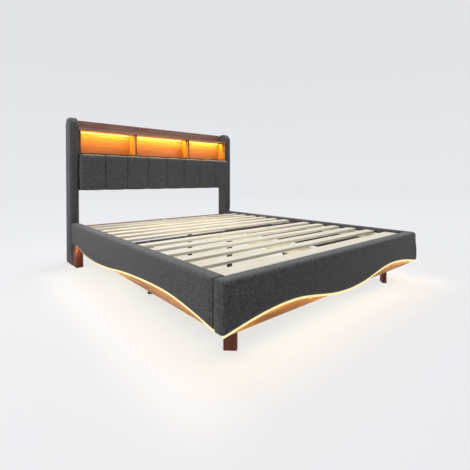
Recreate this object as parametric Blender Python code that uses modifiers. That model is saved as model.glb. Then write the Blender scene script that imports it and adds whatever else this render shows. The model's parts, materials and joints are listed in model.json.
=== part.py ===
"""Queen bed: upholstered frame with a wave-shaped, lit lower edge, a slatted deck and a bookcase headboard.

Metres, +Z up, +Y towards the head, +X to the right as seen from the foot.
The origin is on the floor, at the centre of the bed's footprint.
"""
import math

import bmesh
import bpy

MM = 0.001

# Fits and small roundings that many pieces share
CLEARANCE = 0.3 * MM
CUTTER_OVERRUN = 5 * MM
BOARD_EDGE_ROUNDING = 1.5 * MM
SHEET_EDGE_ROUNDING = 0.5 * MM

# Mattress and the well that holds it
MATTRESS_WIDTH = 1524 * MM
MATTRESS_LENGTH = 2032 * MM
MATTRESS_SIDE_ROOM = 10.5 * MM
MATTRESS_END_ROOM = 13 * MM

# Upholstered frame
RAIL_THICKNESS = 60 * MM
FOOTBOARD_THICKNESS = 70 * MM
RAIL_TOP_HEIGHT = 357 * MM
DECK_RECESS = 17 * MM
UPHOLSTERY_ROUNDING = 10 * MM
WAVE_LOW_HEIGHT = 145 * MM
WAVE_RISE = 63 * MM

# Headboard
HEADBOARD_DEPTH = 156 * MM
HEADBOARD_HEIGHT = 1250 * MM
WING_THICKNESS = 60 * MM
WING_FRONT_RADIUS = 70 * MM
WING_BACK_RADIUS = 45 * MM
BACK_PANEL_THICKNESS = 12 * MM
BACK_PANEL_INSET = 7 * MM
BACK_PANEL_TOP_DROP = 7 * MM
LEDGE_UPSTAND = 83 * MM
BAY_HEIGHT = 193 * MM
BAY_BOARD_THICKNESS = 15 * MM
BAY_DIVIDER_THICKNESS = 14 * MM
BAY_DIVIDER_SHARE = 0.3737

# Headboard cushion
CUSHION_HEIGHT = 307 * MM
CUSHION_PROJECTION = 62 * MM
CUSHION_SIDE_ROOM = 2 * MM
CUSHION_CHANNELS = 8
CUSHION_CHANNEL_CROWN = 9 * MM
CUSHION_RIM_DROP = 17 * MM
CUSHION_DRAW_IN = 3 * MM
BACKING_THICKNESS = 18 * MM

# Boards behind the upholstery, in a recess of the padded rails
PADDED_PANEL_THICKNESS = 36 * MM
INNER_BOARD_DROP = 8 * MM
FOOT_BOARD_END_INSET = 32 * MM
HEAD_RAIL_THICKNESS = 25 * MM
HEAD_RAIL_HEIGHT = 140 * MM
HEAD_RAIL_SETBACK = 14 * MM

# Light strips
RAIL_LIGHT_HEIGHT = 9 * MM
RAIL_LIGHT_DEPTH = 10 * MM
RAIL_LIGHT_INSET = 8 * MM
RAIL_LIGHT_END_ROOM = 4 * MM
BAY_LIGHT_HEIGHT = 8 * MM
BAY_LIGHT_DEPTH = 10 * MM
BAY_LIGHT_END_ROOM = 6 * MM
DRIVER_WIDTH = 120 * MM
DRIVER_DEPTH = 25 * MM
DRIVER_HEIGHT = 60 * MM
DRIVER_OFFSET = 420 * MM
DRIVER_ROUNDING = 3 * MM
DRIVER_INLET_DIAMETER = 8 * MM
DRIVER_INLET_DEPTH = 12 * MM

# Deck
SLAT_THICKNESS = 15 * MM
SLAT_WIDTH = 70 * MM
FIRST_SLAT_EXTRA_WIDTH = 25 * MM
SLATS_PER_GROUP = 6
FIRST_SLAT_FROM_FOOT = 62 * MM
LAST_SLAT_FROM_HEAD = 150 * MM
CROSS_BAR_GAP = 176 * MM
LEDGER_WIDTH = 28 * MM
LEDGER_HEIGHT = 42 * MM
CENTRE_BEAM_WIDTH = 28 * MM
CENTRE_BEAM_HEIGHT = 65 * MM
CROSS_BAR_WIDTH = 40 * MM
CROSS_BAR_HEIGHT = 25 * MM
CROSS_BAR_WALL = 1.5 * MM
CROSS_BAR_RISE = 8 * MM

# Legs
CORNER_LEG_WIDTH = 58 * MM
CORNER_LEG_THICKNESS = 29 * MM
CORNER_LEG_SETBACK = 120 * MM
CORNER_BRACE_THICKNESS = 20 * MM
CORNER_BRACE_HEIGHT = 130 * MM
HEAD_LEG_INSET = 8 * MM
HEAD_LEG_DEPTH = 108 * MM
BRACKET_FLANGE = 60 * MM
BRACKET_HEIGHT = 100 * MM
BRACKET_THICKNESS = 3 * MM
SUPPORT_LEG_WIDTH = 30 * MM
SUPPORT_LEG_SPACING = 582 * MM
SIDE_SUPPORT_INSET = 205 * MM

# Levelling feet of the support legs
FOOT_PAD_DIAMETER = 42 * MM
FOOT_PAD_HEIGHT = 9 * MM
FOOT_PAD_ROUNDING = 2 * MM
FOOT_STUD_DIAMETER = 8 * MM
FOOT_STUD_ROOM = 0.5 * MM
FOOT_STUD_GRIP = 14 * MM
FOOT_SCREW_IN = 8 * MM
FOOT_SCREW_OUT = 12 * MM
FOOT_STOP_ROOM = 2 * MM
FOOT_STUD_REACH = FOOT_SCREW_OUT + FOOT_STUD_GRIP

# Lower edge of each side rail from the foot to the head: share of the rail's length, share of the rise
SIDE_WAVE_SHARES = (
    (0.00, 0.21), (0.08, 0.65), (0.17, 0.97), (0.26, 1.00), (0.35, 0.88), (0.42, 0.73), (0.49, 0.52),
    (0.57, 0.22), (0.68, 0.00), (0.74, 0.02), (0.80, 0.09), (0.87, 0.38), (0.93, 0.68), (1.00, 0.70),
)

# Lower edge of the footboard from a corner to its middle, mirrored for the other half
FOOT_WAVE_SHARES = (
    (0.00, 0.22), (0.08, 0.60), (0.14, 0.80), (0.20, 0.89), (0.26, 0.83),
    (0.325, 0.57), (0.39, 0.26), (0.44, 0.10), (0.50, 0.03),
)

# Across one cushion channel: share of its width, share of its crown
CHANNEL_PROFILE_SHARES = ((0.0, 0.0), (0.07, 0.55), (0.26, 0.92), (0.5, 1.0), (0.74, 0.92), (0.93, 0.55))

# Up the cushion: share of its height, share of its full projection
CUSHION_RISE_SHARES = (
    (0.0, 0.0), (0.02, 0.52), (0.06, 0.86), (0.16, 1.0), (0.5, 1.0),
    (0.84, 1.0), (0.94, 0.86), (0.98, 0.52), (1.0, 0.0),
)

# Curve steps
WAVE_STEPS = 3
ARC_STEPS = 8
ROUND_SEGMENTS = 24

# Widths across the bed
DECK_WIDTH = MATTRESS_WIDTH + 2 * MATTRESS_SIDE_ROOM
DECK_LENGTH = MATTRESS_LENGTH + 2 * MATTRESS_END_ROOM
BED_WIDTH = DECK_WIDTH + 2 * RAIL_THICKNESS
BED_LENGTH = FOOTBOARD_THICKNESS + DECK_LENGTH + HEADBOARD_DEPTH
WELL_HALF_WIDTH = DECK_WIDTH / 2
WING_INNER_X = BED_WIDTH / 2 - WING_THICKNESS
BAY_END_X = WING_INNER_X - CLEARANCE - BAY_BOARD_THICKNESS
BAY_DIVIDER_OFFSET = BAY_DIVIDER_SHARE * BAY_END_X
PANEL_REAR_X = BED_WIDTH / 2 - PADDED_PANEL_THICKNESS
FOOT_BOARD_HALF_WIDTH = BED_WIDTH / 2 - FOOT_BOARD_END_INSET

# Places along the bed
FOOT_FACE_Y = -BED_LENGTH / 2
WELL_FOOT_Y = FOOT_FACE_Y + FOOTBOARD_THICKNESS
WING_FRONT_Y = WELL_FOOT_Y + DECK_LENGTH
HEAD_BACK_Y = BED_LENGTH / 2
PANEL_REAR_Y = FOOT_FACE_Y + PADDED_PANEL_THICKNESS
HEAD_RAIL_FRONT_Y = WING_FRONT_Y + HEAD_RAIL_SETBACK
BACK_PANEL_FRONT_Y = HEAD_BACK_Y - BACK_PANEL_INSET - BACK_PANEL_THICKNESS
BACKING_FRONT_Y = WING_FRONT_Y + CLEARANCE
BACKING_REAR_Y = BACKING_FRONT_Y + BACKING_THICKNESS
HEAD_LEG_FRONT_Y = WING_FRONT_Y - CLEARANCE - HEAD_LEG_DEPTH

# Heights
SLAT_TOP_HEIGHT = RAIL_TOP_HEIGHT - DECK_RECESS
SLAT_BOTTOM_HEIGHT = SLAT_TOP_HEIGHT - SLAT_THICKNESS
BEARER_TOP_HEIGHT = SLAT_BOTTOM_HEIGHT - CLEARANCE
CROSS_BAR_TOP_HEIGHT = BEARER_TOP_HEIGHT + CROSS_BAR_RISE
CROSS_BAR_BOTTOM_HEIGHT = CROSS_BAR_TOP_HEIGHT - CROSS_BAR_HEIGHT
CENTRE_BEAM_BOTTOM_HEIGHT = BEARER_TOP_HEIGHT - CENTRE_BEAM_HEIGHT
INNER_BOARD_BOTTOM_HEIGHT = WAVE_LOW_HEIGHT - INNER_BOARD_DROP
BACK_PANEL_TOP_HEIGHT = HEADBOARD_HEIGHT - BACK_PANEL_TOP_DROP
BAY_CEILING_HEIGHT = BACK_PANEL_TOP_HEIGHT - LEDGE_UPSTAND - BAY_BOARD_THICKNESS
BAY_FLOOR_HEIGHT = BAY_CEILING_HEIGHT - BAY_HEIGHT
SHELF_BOTTOM_HEIGHT = BAY_FLOOR_HEIGHT - BAY_BOARD_THICKNESS
CUSHION_TOP_HEIGHT = SHELF_BOTTOM_HEIGHT - CLEARANCE
CUSHION_BOTTOM_HEIGHT = CUSHION_TOP_HEIGHT - CUSHION_HEIGHT

# Slats, counted from the foot
SLAT_GROUP_LENGTH = (DECK_LENGTH - FIRST_SLAT_FROM_FOOT - LAST_SLAT_FROM_HEAD - CROSS_BAR_GAP) / 2
SLAT_PITCH = (SLAT_GROUP_LENGTH - SLAT_WIDTH) / (SLATS_PER_GROUP - 1)
SECOND_GROUP_START_Y = WELL_FOOT_Y + FIRST_SLAT_FROM_FOOT + SLAT_GROUP_LENGTH + CROSS_BAR_GAP
CROSS_BAR_Y = SECOND_GROUP_START_Y - CROSS_BAR_GAP / 2


def clear_scene():
    for old in list(bpy.data.objects):
        bpy.data.objects.remove(old)


def collection(name):
    made = bpy.data.collections.new(name)
    bpy.context.scene.collection.children.link(made)
    return made


def material(name, colour, roughness, metallic=0.0, glow=0.0):
    made = bpy.data.materials.new(name)
    made.use_nodes = True
    shader = made.node_tree.nodes["Principled BSDF"]
    shader.inputs["Base Color"].default_value = (*colour, 1.0)
    shader.inputs["Roughness"].default_value = roughness
    shader.inputs["Metallic"].default_value = metallic
    shader.inputs["Emission Color"].default_value = (*colour, 1.0)
    shader.inputs["Emission Strength"].default_value = glow
    made.diffuse_color = (*colour, 1.0)
    return made


def place(name, mesh, finish, location=(0, 0, 0), rotation=(0, 0, 0)):
    """Puts a mesh in the bed's collection as a named piece of one material."""
    piece = bpy.data.objects.new(name, mesh)
    piece.location = location
    piece.rotation_euler = rotation
    mesh.materials.clear()
    mesh.materials.append(finish)
    bed.objects.link(piece)
    return piece


def round_edges(piece, width, segments=1):
    bevel = piece.modifiers.new("Rounded edges", "BEVEL")
    bevel.width = width
    bevel.segments = segments
    bevel.limit_method = "ANGLE"
    return piece


def block_mesh(name, size):
    mesh = bpy.data.meshes.new(name)
    shape = bmesh.new()
    bmesh.ops.create_cube(shape, size=1.0)
    bmesh.ops.scale(shape, vec=size, verts=shape.verts)
    shape.to_mesh(mesh)
    shape.free()
    return mesh


def block(name, low, high, finish, rounding=0, turn=0):
    """A box between two corners, with its origin at its middle and an optional turn about the vertical."""
    size = [b - a for a, b in zip(low, high)]
    middle = [(a + b) / 2 for a, b in zip(low, high)]
    piece = place(name, block_mesh(name, size), finish, middle, (0, 0, turn))
    if rounding:
        round_edges(piece, rounding)
    return piece


def cylinder_mesh(name, diameter, height):
    mesh = bpy.data.meshes.new(name)
    shape = bmesh.new()
    radius = diameter / 2
    bmesh.ops.create_cone(
        shape, cap_ends=True, segments=ROUND_SEGMENTS, radius1=radius, radius2=radius, depth=height
    )
    shape.to_mesh(mesh)
    shape.free()
    return mesh


def cutter(name, mesh, location, rotation=(0, 0, 0)):
    tool = bpy.data.objects.new(name, mesh)
    tool.location = location
    tool.rotation_euler = rotation
    tool.hide_render = True
    tool.display_type = "WIRE"
    cutters.objects.link(tool)
    return tool


def box_cutter(name, low, high):
    size = [b - a for a, b in zip(low, high)]
    middle = [(a + b) / 2 for a, b in zip(low, high)]
    return cutter(name, block_mesh(name, size), middle)


def cut(piece, tool):
    boolean = piece.modifiers.new("Cut " + tool.name, "BOOLEAN")
    boolean.operation = "DIFFERENCE"
    boolean.object = tool
    return piece


def plate(name, outline, thickness, finish, location, rotation, rounding=0):
    """A flat outline given a thickness, centred on its own plane, with rounded rims."""
    curve = bpy.data.curves.new(name, "CURVE")
    curve.dimensions = "2D"
    curve.fill_mode = "BOTH"
    curve.extrude = thickness / 2 - rounding
    curve.bevel_depth = rounding
    curve.bevel_resolution = 1
    curve.offset = -rounding
    spline = curve.splines.new("POLY")
    spline.points.add(len(outline) - 1)
    for point, (u, v) in zip(spline.points, outline):
        point.co = (u, v, 0, 1)
    spline.use_cyclic_u = True
    guide = bpy.data.objects.new(name + "_outline", curve)
    cutters.objects.link(guide)
    bpy.context.view_layer.update()
    evaluated = guide.evaluated_get(bpy.context.evaluated_depsgraph_get())
    mesh = bpy.data.meshes.new_from_object(evaluated)
    bpy.data.objects.remove(guide)
    shape = bmesh.new()
    shape.from_mesh(mesh)
    bmesh.ops.remove_doubles(shape, verts=shape.verts, dist=CLEARANCE / 100)
    bmesh.ops.recalc_face_normals(shape, faces=shape.faces)
    shape.to_mesh(mesh)
    shape.free()
    return place(name, mesh, finish, location, rotation)


def smooth_through(shares, steps=WAVE_STEPS):
    """Points of a smooth line through the given ones, each span following its neighbours' direction."""
    line = []
    last = len(shares) - 1
    for i in range(last):
        before, start = shares[max(i - 1, 0)], shares[i]
        end, after = shares[i + 1], shares[min(i + 2, last)]
        for step in range(steps):
            t = step / steps
            line.append(tuple(
                ((2 * t**3 - 3 * t**2 + 1) * start[k]
                 + (t**3 - 2 * t**2 + t) * (end[k] - before[k]) / 2
                 + (3 * t**2 - 2 * t**3) * end[k]
                 + (t**3 - t**2) * (after[k] - start[k]) / 2)
                for k in (0, 1)
            ))
    line.append(shares[last])
    return line


def wave_line(shares, start, length):
    """The wave as places along a rail and heights above the floor."""
    return [
        (start + share * length, WAVE_LOW_HEIGHT + rise * WAVE_RISE)
        for share, rise in smooth_through(shares)
    ]


def footboard_wave():
    half = FOOT_WAVE_SHARES
    whole = half + tuple((1 - share, rise) for share, rise in reversed(half[:-1]))
    return wave_line(whole, -BED_WIDTH / 2, BED_WIDTH)


def side_wave():
    return wave_line(SIDE_WAVE_SHARES, WELL_FOOT_Y + CLEARANCE, DECK_LENGTH - 2 * CLEARANCE)


def wave_height_at(line, place_along):
    """Height of a wave line at one place along it."""
    for (a, low), (b, high) in zip(line, line[1:]):
        if a <= place_along <= b:
            return low + (high - low) * (place_along - a) / (b - a)
    return line[-1][1]


def arc(centre_u, centre_v, radius, start, end):
    """Points of an arc between two angles in degrees, both ends included."""
    return [
        (centre_u + radius * math.cos(math.radians(start + (end - start) * i / ARC_STEPS)),
         centre_v + radius * math.sin(math.radians(start + (end - start) * i / ARC_STEPS)))
        for i in range(ARC_STEPS + 1)
    ]


# A flat outline drawn along the bed and upwards, or across the bed and upwards
ALONG_BED = (math.pi / 2, 0, math.pi / 2)
ACROSS_BED = (math.pi / 2, 0, 0)
SIDES = (("left", -1), ("right", 1))


def make_wings():
    """Upholstered posts at both ends of the headboard, down to the floor, with a rounded top."""
    front, back, top = WING_FRONT_RADIUS, WING_BACK_RADIUS, HEADBOARD_HEIGHT
    outline = [(WING_FRONT_Y, 0), (HEAD_BACK_Y, 0)]
    outline += arc(HEAD_BACK_Y - back, top - back, back, 0, 90)
    outline += arc(WING_FRONT_Y + front, top - front, front, 90, 180)
    for side, sign in SIDES:
        x = sign * (BED_WIDTH - WING_THICKNESS) / 2
        name = f"headboard_{side}_wing"
        plate(name, outline, WING_THICKNESS, fabric, (x, 0, 0), ALONG_BED, UPHOLSTERY_ROUNDING)


def make_bookcase():
    """Back panel, upper and lower board, end panels and two dividers around three open bays."""
    half = WING_INNER_X - CLEARANCE
    block("headboard_back_panel",
          (-half, BACK_PANEL_FRONT_Y, SHELF_BOTTOM_HEIGHT),
          (half, BACK_PANEL_FRONT_Y + BACK_PANEL_THICKNESS, BACK_PANEL_TOP_HEIGHT),
          walnut, BOARD_EDGE_ROUNDING)
    rear = BACK_PANEL_FRONT_Y - CLEARANCE
    boards = (("bay_floor_board", SHELF_BOTTOM_HEIGHT), ("bay_ceiling_board", BAY_CEILING_HEIGHT))
    for name, bottom in boards:
        block(name, (-half, WING_FRONT_Y, bottom), (half, rear, bottom + BAY_BOARD_THICKNESS),
              walnut, BOARD_EDGE_ROUNDING)
    low = BAY_FLOOR_HEIGHT + CLEARANCE
    high = BAY_CEILING_HEIGHT - CLEARANCE
    for side, sign in SIDES:
        end = sorted((sign * half, sign * BAY_END_X))
        block(f"bay_{side}_end_panel", (end[0], WING_FRONT_Y, low), (end[1], rear, high),
              walnut, BOARD_EDGE_ROUNDING)
        middle = sign * BAY_DIVIDER_OFFSET
        block(f"bay_{side}_divider", (middle - BAY_DIVIDER_THICKNESS / 2, WING_FRONT_Y, low),
              (middle + BAY_DIVIDER_THICKNESS / 2, rear, high), walnut, BOARD_EDGE_ROUNDING)


def make_bay_lights():
    """A light bar in the upper rear corner of each bay."""
    inner = BAY_DIVIDER_OFFSET - BAY_DIVIDER_THICKNESS / 2
    outer = BAY_DIVIDER_OFFSET + BAY_DIVIDER_THICKNESS / 2
    rear = BACK_PANEL_FRONT_Y - CLEARANCE
    top = BAY_CEILING_HEIGHT - CLEARANCE
    bays = (("left", -BAY_END_X, -outer), ("middle", -inner, inner), ("right", outer, BAY_END_X))
    for name, low, high in bays:
        block(f"bay_{name}_light", (low + BAY_LIGHT_END_ROOM, rear - BAY_LIGHT_DEPTH, top - BAY_LIGHT_HEIGHT),
              (high - BAY_LIGHT_END_ROOM, rear, top), warm_light, SHEET_EDGE_ROUNDING)


def cushion_columns():
    """Places across the cushion, seam to seam, each with its share of the channel's crown."""
    columns = [
        ((channel + share) / CUSHION_CHANNELS, crown)
        for channel in range(CUSHION_CHANNELS)
        for share, crown in CHANNEL_PROFILE_SHARES
    ]
    columns.append((1.0, 0.0))
    return columns


def make_cushion():
    """Channel-sewn back cushion: a crowned front whose rim turns back to the board behind it."""
    half = WING_INNER_X - CUSHION_SIDE_ROOM
    height = CUSHION_TOP_HEIGHT - CUSHION_BOTTOM_HEIGHT
    rear_y = WING_FRONT_Y
    columns = cushion_columns()
    rows = CUSHION_RISE_SHARES
    shape = bmesh.new()
    bmesh.ops.create_grid(shape, x_segments=len(columns) - 1, y_segments=len(rows) - 1, size=1.0)
    shape.verts.ensure_lookup_table()
    for vertex in shape.verts:
        column = round((vertex.co.x + 1) / 2 * (len(columns) - 1))
        row = round((vertex.co.y + 1) / 2 * (len(rows) - 1))
        across, crown = columns[column]
        up, rise = rows[row]
        at_end = column in (0, len(columns) - 1)
        seam_dip = CUSHION_DRAW_IN * (1 - crown) if row in (0, len(rows) - 1) else 0
        rim = CUSHION_RIM_DROP * (1 - rise)
        end_rim = CUSHION_RIM_DROP if at_end else 0
        depth = CUSHION_PROJECTION - max(rim, end_rim) - CUSHION_CHANNEL_CROWN * (1 - crown) * rise
        inward = CUSHION_DRAW_IN * (2 * up - 1) ** 2 if at_end else 0
        vertex.co.x = (2 * across - 1) * (half - inward)
        vertex.co.z = CUSHION_BOTTOM_HEIGHT + up * height + math.copysign(seam_dip, 0.5 - up)
        vertex.co.y = rear_y - depth
    walls = bmesh.ops.extrude_edge_only(shape, edges=[e for e in shape.edges if e.is_boundary])
    rim_vertices = [item for item in walls["geom"] if isinstance(item, bmesh.types.BMVert)]
    for vertex in rim_vertices:
        vertex.co.y = rear_y
    bmesh.ops.holes_fill(shape, edges=[e for e in shape.edges if e.is_boundary], sides=0)
    bmesh.ops.recalc_face_normals(shape, faces=shape.faces)
    mesh = bpy.data.meshes.new("headboard_cushion")
    shape.to_mesh(mesh)
    shape.free()
    piece = place("headboard_cushion", mesh, fabric)
    mesh.shade_smooth()
    mesh.set_sharp_from_angle(angle=math.radians(50))
    return piece


def make_cushion_backing():
    half = WING_INNER_X - CLEARANCE
    block("cushion_backing_board", (-half, BACKING_FRONT_Y, CUSHION_BOTTOM_HEIGHT + BOARD_EDGE_ROUNDING),
          (half, BACKING_REAR_Y, SHELF_BOTTOM_HEIGHT - CLEARANCE), plywood, BOARD_EDGE_ROUNDING)


def make_light_driver():
    """Box for the lights behind the cushion's board, with its power inlet underneath."""
    front = BACKING_REAR_Y + CLEARANCE
    middle_height = (CUSHION_BOTTOM_HEIGHT + CUSHION_TOP_HEIGHT) / 2
    bottom = middle_height - DRIVER_HEIGHT / 2
    box = block("light_driver_box", (-DRIVER_OFFSET - DRIVER_WIDTH / 2, front, bottom),
                (-DRIVER_OFFSET + DRIVER_WIDTH / 2, front + DRIVER_DEPTH, bottom + DRIVER_HEIGHT),
                black_plastic, DRIVER_ROUNDING)
    bore = cylinder_mesh("inlet_bore", DRIVER_INLET_DIAMETER, 2 * DRIVER_INLET_DEPTH)
    cut(box, cutter("inlet_bore", bore, (-DRIVER_OFFSET, front + DRIVER_DEPTH / 2, bottom)))


def make_upholstered_frame():
    """Side rails between footboard and wings, and the footboard over their ends, all with the wave below.

    Each has a recess behind its lower part, which holds the inner board.
    """
    wave = side_wave()
    outline = wave + [(wave[-1][0], RAIL_TOP_HEIGHT), (wave[0][0], RAIL_TOP_HEIGHT)]
    for side, sign in SIDES:
        x = sign * (BED_WIDTH - RAIL_THICKNESS) / 2
        name = f"{side}_side_rail"
        rail = plate(name, outline, RAIL_THICKNESS, fabric, (x, 0, 0), ALONG_BED, UPHOLSTERY_ROUNDING)
        across = sorted((sign * PANEL_REAR_X, sign * (WELL_HALF_WIDTH - CUTTER_OVERRUN)))
        cut(rail, box_cutter(f"{side}_rail_recess", (across[0], WELL_FOOT_Y - CUTTER_OVERRUN, 0),
                             (across[1], WING_FRONT_Y + CUTTER_OVERRUN, SLAT_BOTTOM_HEIGHT)))
    wave = footboard_wave()
    outline = wave + [(wave[-1][0], RAIL_TOP_HEIGHT), (wave[0][0], RAIL_TOP_HEIGHT)]
    y = FOOT_FACE_Y + FOOTBOARD_THICKNESS / 2
    board = plate("footboard", outline, FOOTBOARD_THICKNESS, fabric, (0, y, 0), ACROSS_BED,
                  UPHOLSTERY_ROUNDING)
    cut(board, box_cutter("footboard_recess", (-FOOT_BOARD_HALF_WIDTH, PANEL_REAR_Y, 0),
                          (FOOT_BOARD_HALF_WIDTH, WELL_FOOT_Y + CUTTER_OVERRUN, SLAT_BOTTOM_HEIGHT)))


def light_band(line, start, end):
    """Closed outline of a light strip that hangs under a wave line, a little short of both ends."""
    first, last = start + RAIL_LIGHT_END_ROOM, end - RAIL_LIGHT_END_ROOM
    inside = [(u, v) for u, v in line if first < u < last]
    upper = [(first, wave_height_at(line, first))] + inside + [(last, wave_height_at(line, last))]
    top = [(u, v - CLEARANCE) for u, v in upper]
    return [(u, v - RAIL_LIGHT_HEIGHT) for u, v in top] + list(reversed(top))


def make_rail_lights():
    """Light strips under the wave, just inside the outer face; the side ones stop at the head legs."""
    wave = side_wave()
    outline = light_band(wave, wave[0][0], HEAD_LEG_FRONT_Y)
    for side, sign in SIDES:
        x = sign * (BED_WIDTH / 2 - RAIL_LIGHT_INSET - RAIL_LIGHT_DEPTH / 2)
        plate(f"{side}_rail_light", outline, RAIL_LIGHT_DEPTH, warm_light, (x, 0, 0), ALONG_BED)
    y = FOOT_FACE_Y + RAIL_LIGHT_INSET + RAIL_LIGHT_DEPTH / 2
    outline = light_band(footboard_wave(), -BED_WIDTH / 2, BED_WIDTH / 2)
    plate("footboard_light", outline, RAIL_LIGHT_DEPTH, warm_light, (0, y, 0), ACROSS_BED)


def make_inner_boards():
    """Straight walnut boards in the recesses, which carry the deck, and the rail between the wings.

    The side boards step up at the head end to clear the head legs.
    """
    top = BEARER_TOP_HEIGHT
    low = INNER_BOARD_BOTTOM_HEIGHT
    foot_end = WELL_FOOT_Y + CLEARANCE
    head_end = WING_FRONT_Y - CLEARANCE
    step_y = HEAD_LEG_FRONT_Y - CLEARANCE
    step_height = head_leg_top() + CLEARANCE
    outline = [(foot_end, low), (step_y, low), (step_y, step_height), (head_end, step_height),
               (head_end, top), (foot_end, top)]
    thickness = PANEL_REAR_X - CLEARANCE - WELL_HALF_WIDTH
    for side, sign in SIDES:
        x = sign * (WELL_HALF_WIDTH + thickness / 2)
        plate(f"{side}_inner_board", outline, thickness, walnut, (x, 0, 0), ALONG_BED)
    half = FOOT_BOARD_HALF_WIDTH - CLEARANCE
    block("foot_inner_board", (-half, PANEL_REAR_Y + CLEARANCE, low), (half, WELL_FOOT_Y, top),
          walnut, BOARD_EDGE_ROUNDING)
    half = WING_INNER_X - CLEARANCE
    block("head_cross_rail", (-half, HEAD_RAIL_FRONT_Y, top - HEAD_RAIL_HEIGHT),
          (half, HEAD_RAIL_FRONT_Y + HEAD_RAIL_THICKNESS, top), walnut, BOARD_EDGE_ROUNDING)


def cross_bar_notch(name, x_low, x_high):
    """Cutter for the notch that lets the cross bar into a bearer."""
    half = CROSS_BAR_WIDTH / 2 + CLEARANCE
    return box_cutter(name, (x_low - CUTTER_OVERRUN, CROSS_BAR_Y - half, CROSS_BAR_BOTTOM_HEIGHT - CLEARANCE),
                      (x_high + CUTTER_OVERRUN, CROSS_BAR_Y + half, BEARER_TOP_HEIGHT + CUTTER_OVERRUN))


def make_bearers():
    """Ledgers along both inner boards and the beam down the middle, notched for the cross bar."""
    top = BEARER_TOP_HEIGHT
    foot_y = WELL_FOOT_Y + CLEARANCE
    head_y = HEAD_RAIL_FRONT_Y - CLEARANCE
    outer = WELL_HALF_WIDTH - CLEARANCE
    for side, sign in SIDES:
        x = sorted((sign * outer, sign * (outer - LEDGER_WIDTH)))
        ledger = block(f"{side}_slat_ledger", (x[0], foot_y, top - LEDGER_HEIGHT), (x[1], head_y, top),
                       pine, BOARD_EDGE_ROUNDING)
        cut(ledger, cross_bar_notch(f"{side}_ledger_notch", x[0], x[1]))
    half = CENTRE_BEAM_WIDTH / 2
    beam = block("centre_beam", (-half, foot_y, CENTRE_BEAM_BOTTOM_HEIGHT), (half, head_y, top),
                 pine, BOARD_EDGE_ROUNDING)
    cut(beam, cross_bar_notch("beam_notch", -half, half))


def make_cross_bar():
    """Rectangular steel tube across the middle of the deck."""
    half_length = WELL_HALF_WIDTH - CLEARANCE
    half_width = CROSS_BAR_WIDTH / 2
    bar = block("deck_cross_bar", (-half_length, CROSS_BAR_Y - half_width, CROSS_BAR_BOTTOM_HEIGHT),
                (half_length, CROSS_BAR_Y + half_width, CROSS_BAR_TOP_HEIGHT),
                black_steel, SHEET_EDGE_ROUNDING)
    reach = half_length + CUTTER_OVERRUN
    bore_half = half_width - CROSS_BAR_WALL
    low = (-reach, CROSS_BAR_Y - bore_half, CROSS_BAR_BOTTOM_HEIGHT + CROSS_BAR_WALL)
    high = (reach, CROSS_BAR_Y + bore_half, CROSS_BAR_TOP_HEIGHT - CROSS_BAR_WALL)
    cut(bar, box_cutter("cross_bar_bore", low, high))


def make_slats():
    """Two groups of slats, with the cross bar in the wider gap between them.

    The first slat is wider, on its foot side, and so carries the end of the mattress.
    """
    half = WELL_HALF_WIDTH - CLEARANCE
    groups = (WELL_FOOT_Y + FIRST_SLAT_FROM_FOOT, SECOND_GROUP_START_Y)
    for group, start in enumerate(groups):
        for i in range(SLATS_PER_GROUP):
            front = start + i * SLAT_PITCH
            rear = front + SLAT_WIDTH
            number = group * SLATS_PER_GROUP + i + 1
            if number == 1:
                front -= FIRST_SLAT_EXTRA_WIDTH
            block(f"slat_{number:02d}", (-half, front, SLAT_BOTTOM_HEIGHT),
                  (half, rear, SLAT_TOP_HEIGHT), pine, BOARD_EDGE_ROUNDING)


def make_corner_legs():
    """Walnut legs set diagonally in the foot corners, each on a brace between the inner boards."""
    step = 1 / math.sqrt(2)
    leg_middle = (CORNER_LEG_SETBACK + CORNER_LEG_THICKNESS / 2) * step
    brace_near = (CORNER_LEG_SETBACK + CORNER_LEG_THICKNESS + CLEARANCE) * 2 * step
    brace_far = brace_near + CORNER_BRACE_THICKNESS * 2 * step
    brace_top = CENTRE_BEAM_BOTTOM_HEIGHT
    for side, sign in SIDES:
        corner_x = sign * (WELL_HALF_WIDTH - CLEARANCE)
        corner_y = WELL_FOOT_Y + CLEARANCE
        x, y = corner_x - sign * leg_middle, corner_y + leg_middle
        block(f"foot_{side}_leg", (x - CORNER_LEG_WIDTH / 2, y - CORNER_LEG_THICKNESS / 2, 0),
              (x + CORNER_LEG_WIDTH / 2, y + CORNER_LEG_THICKNESS / 2, brace_top),
              dark_walnut, BOARD_EDGE_ROUNDING, sign * math.pi / 4)
        outline = [(-sign * brace_near, 0), (-sign * brace_far, 0), (0, brace_far), (0, brace_near)]
        plate(f"foot_{side}_corner_brace", outline, CORNER_BRACE_HEIGHT, plywood,
              (corner_x, corner_y, brace_top - CORNER_BRACE_HEIGHT / 2), (0, 0, 0))


def head_leg_top():
    """Height of the head legs, just under the lower edge of the rail above them."""
    wave = side_wave()
    rear = HEAD_LEG_FRONT_Y + HEAD_LEG_DEPTH
    return min(wave_height_at(wave, HEAD_LEG_FRONT_Y), wave_height_at(wave, rear)) - CLEARANCE


def make_head_legs():
    """Walnut legs under the head end of each side rail, in front of the wings."""
    rear = HEAD_LEG_FRONT_Y + HEAD_LEG_DEPTH
    top = head_leg_top()
    for side, sign in SIDES:
        x = sorted((sign * (BED_WIDTH / 2 - HEAD_LEG_INSET), sign * WELL_HALF_WIDTH))
        block(f"head_{side}_leg", (x[0], HEAD_LEG_FRONT_Y, 0), (x[1], rear, top),
              dark_walnut, BOARD_EDGE_ROUNDING)


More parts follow.
